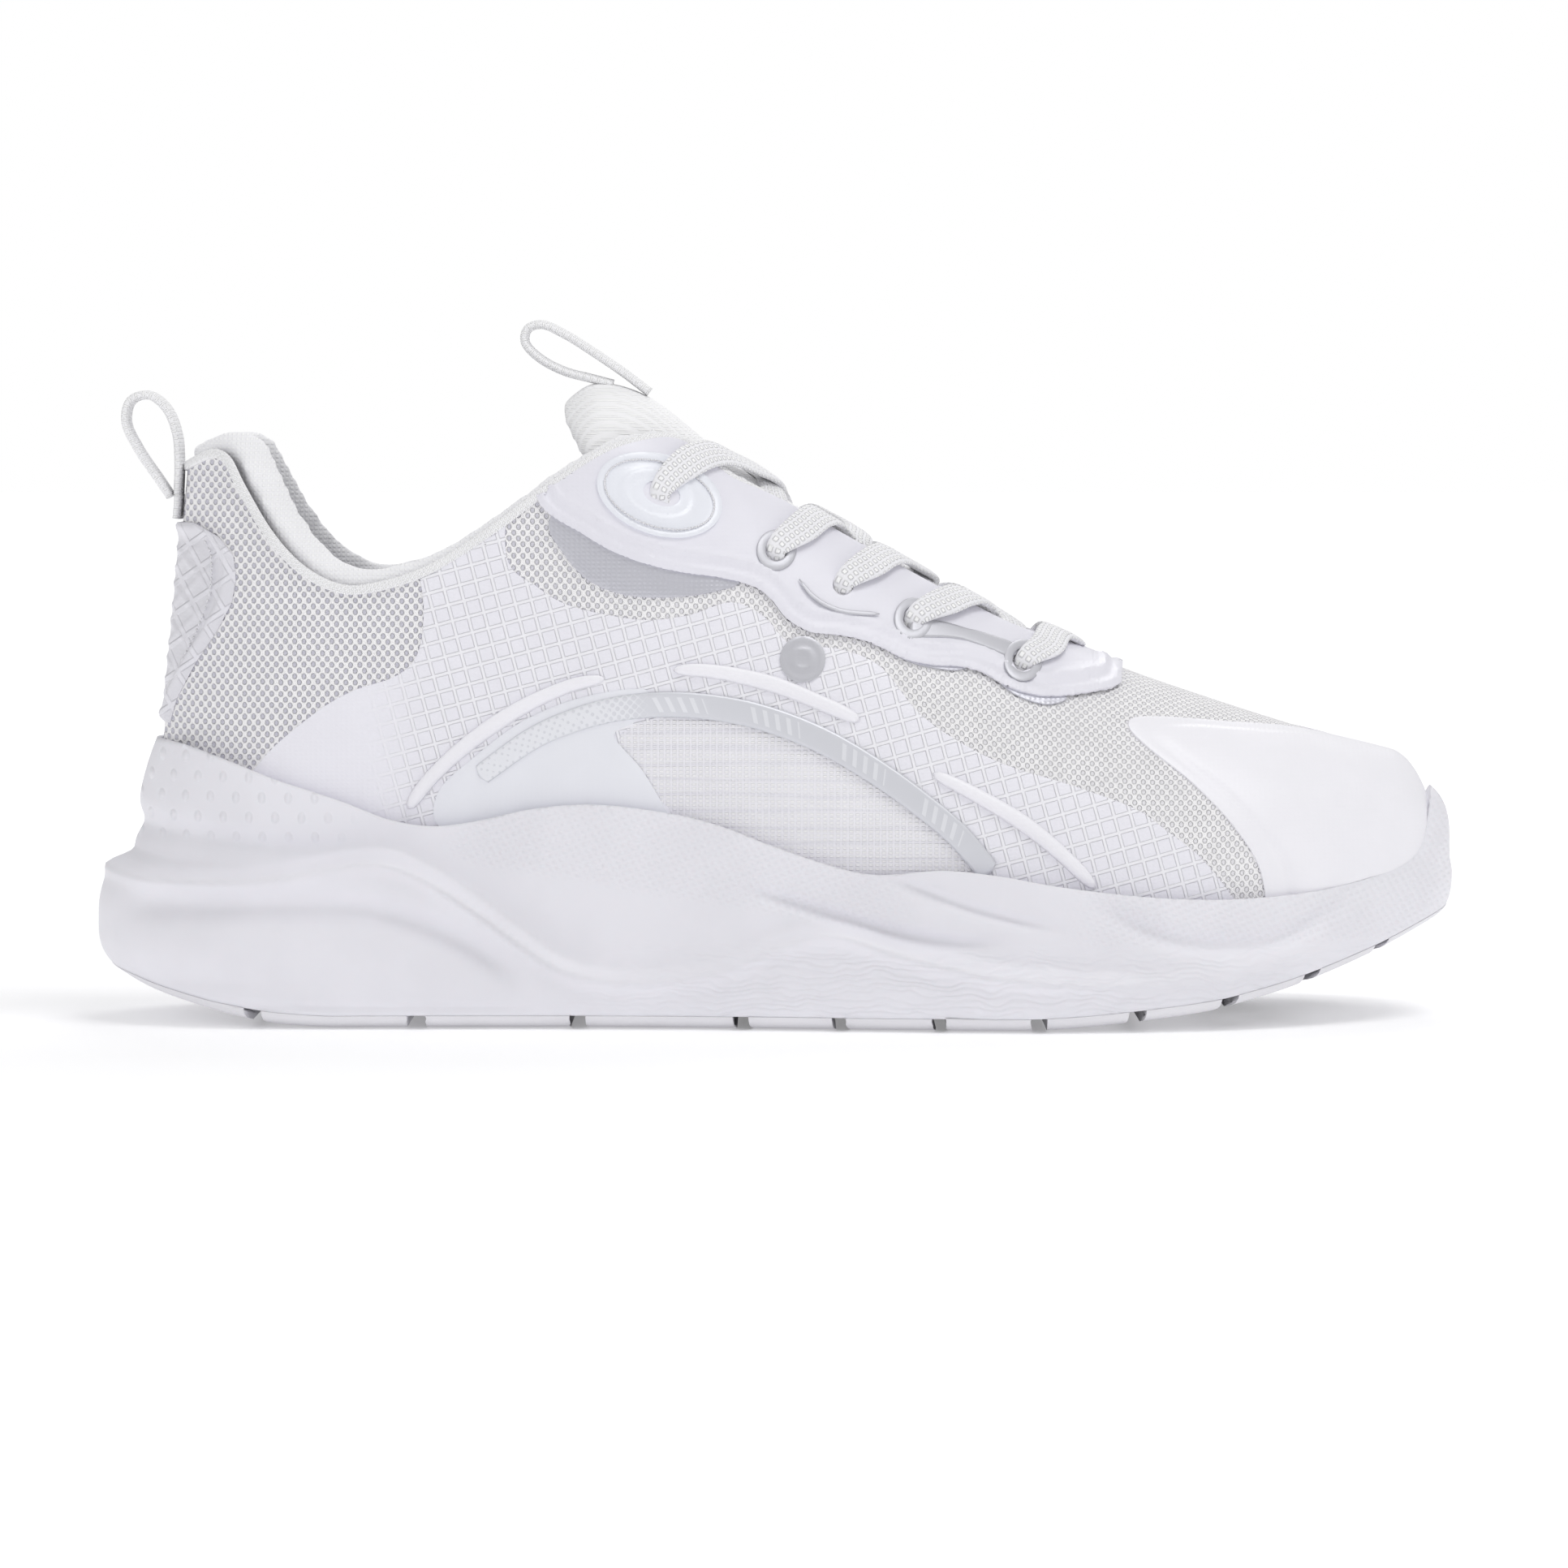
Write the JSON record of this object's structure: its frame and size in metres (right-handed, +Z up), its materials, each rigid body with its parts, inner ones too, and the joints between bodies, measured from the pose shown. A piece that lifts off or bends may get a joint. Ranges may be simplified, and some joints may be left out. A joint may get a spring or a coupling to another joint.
{
  "type": "running shoe",
  "caption": "Low-cut running shoe for the right foot: thick sculpted midsole, blocked outsole, mesh upper with overlays, flat lace and pull loops.",
  "frame": {"origin": "centre of the bounding box's footprint, on the ground that the outsole rests on", "axes": "+X from heel to toe, +Y to the inner (medial) side of the foot, +Z up"},
  "size_m": [0.298, 0.108, 0.1518],
  "materials": {
    "midsole_foam": "satin foam",
    "outsole_rubber": "matte",
    "strobel_board": "matte",
    "sockliner": "matte",
    "upper_mesh": "knitted mesh",
    "stiffener": "matte",
    "padding_foam": "open foam",
    "lining": "brushed knit",
    "collar_knit": "fine knit",
    "tongue_knit": "ribbed knit",
    "cage_film": "embossed film",
    "toe_film": "smooth film",
    "heel_patch": "moulded film",
    "stretch_knit": "ribbed stretch knit",
    "silver_film": "silver print",
    "eyestay_film": "smooth film",
    "silver_trim": "metallic film",
    "clear_patch": "translucent",
    "lace": "woven",
    "webbing": "woven"
  },
  "bodies": {
    "rearfoot": {"midsole_rear": "midsole_foam", "outsole_heel_rear": "outsole_rubber", "outsole_heel_middle": "outsole_rubber", "outsole_heel_front": "outsole_rubber", "outsole_waist_ribs": "outsole_rubber", "outsole_ball_rear": "outsole_rubber", "outsole_ball_middle": "outsole_rubber", "outsole_ball_front": "outsole_rubber", "outsole_forefoot_rear": "outsole_rubber", "strobel_board_rear": "strobel_board", "sockliner_rear": "sockliner", "upper_mesh": "upper_mesh", "heel_counter": "stiffener", "collar_foam": "padding_foam", "quarter_lining": "lining", "vamp_lining": "lining", "collar_roll": "collar_knit", "heel_tab": "heel_patch", "side_cage_lateral": "cage_film", "knit_panel_lateral": "stretch_knit", "arc_band_lateral": "silver_film", "eyestay_lateral": "eyestay_film", "underlay_lateral": "silver_trim", "dot_lateral": "silver_trim", "top_patch_lateral": "clear_patch", "eyelet_ring_1_lateral": "silver_trim", "eyelet_ring_2_lateral": "silver_trim", "eyelet_ring_4_lateral": "silver_trim", "side_cage_medial": "cage_film", "knit_panel_medial": "stretch_knit", "arc_band_medial": "silver_film", "eyestay_medial": "eyestay_film", "underlay_medial": "silver_trim", "dot_medial": "silver_trim", "top_patch_medial": "clear_patch", "eyelet_ring_1_medial": "silver_trim", "eyelet_ring_2_medial": "silver_trim", "eyelet_ring_4_medial": "silver_trim", "lace": "lace", "heel_loop_anchor": "webbing"},
    "forefoot": {"midsole_forefoot": "midsole_foam", "outsole_forefoot_front": "outsole_rubber", "outsole_toe_rear": "outsole_rubber", "outsole_toe_middle": "outsole_rubber", "outsole_toe_tip": "outsole_rubber", "strobel_board_forefoot": "strobel_board", "sockliner_forefoot": "sockliner", "upper_mesh_toe": "upper_mesh", "toe_puff": "stiffener", "toe_lining": "lining", "toe_cap": "toe_film"},
    "tongue": {"tongue_face": "tongue_knit", "tongue_foam": "padding_foam", "tongue_lining": "lining"},
    "tongue_loop": {"tongue_loop": "webbing"},
    "heel_loop": {"heel_loop": "webbing"}
  },
  "joints": [
    {"name": "forefoot_flex", "type": "hinge", "parent": "rearfoot", "child": "forefoot", "pos_m": [0.0773, 0, 0.0271], "axis": [0, -1, 0], "range_deg": [0, 25], "stiffness_Nm_per_rad": 8, "deforming": ["upper_mesh_toe", "toe_cap", "side_cage_lateral", "side_cage_medial"]},
    {"name": "tongue_hinge", "type": "hinge", "parent": "rearfoot", "child": "tongue", "pos_m": [0.06, 0, 0.076], "axis": [0, -1, 0], "range_deg": [0, 10], "stiffness_Nm_per_rad": 0.4},
    {"name": "tongue_loop_flop", "type": "hinge", "parent": "tongue", "child": "tongue_loop", "pos_m": [-0.036, 0, 0.1405], "axis": [0, 1, 0], "range_deg": [-20, 30], "stiffness_Nm_per_rad": 0.02},
    {"name": "heel_loop_flop", "type": "hinge", "parent": "rearfoot", "child": "heel_loop", "pos_m": [-0.132, 0, 0.1135], "axis": [0, 1, 0], "range_deg": [-17, 0], "stiffness_Nm_per_rad": 0.02}
  ]
}
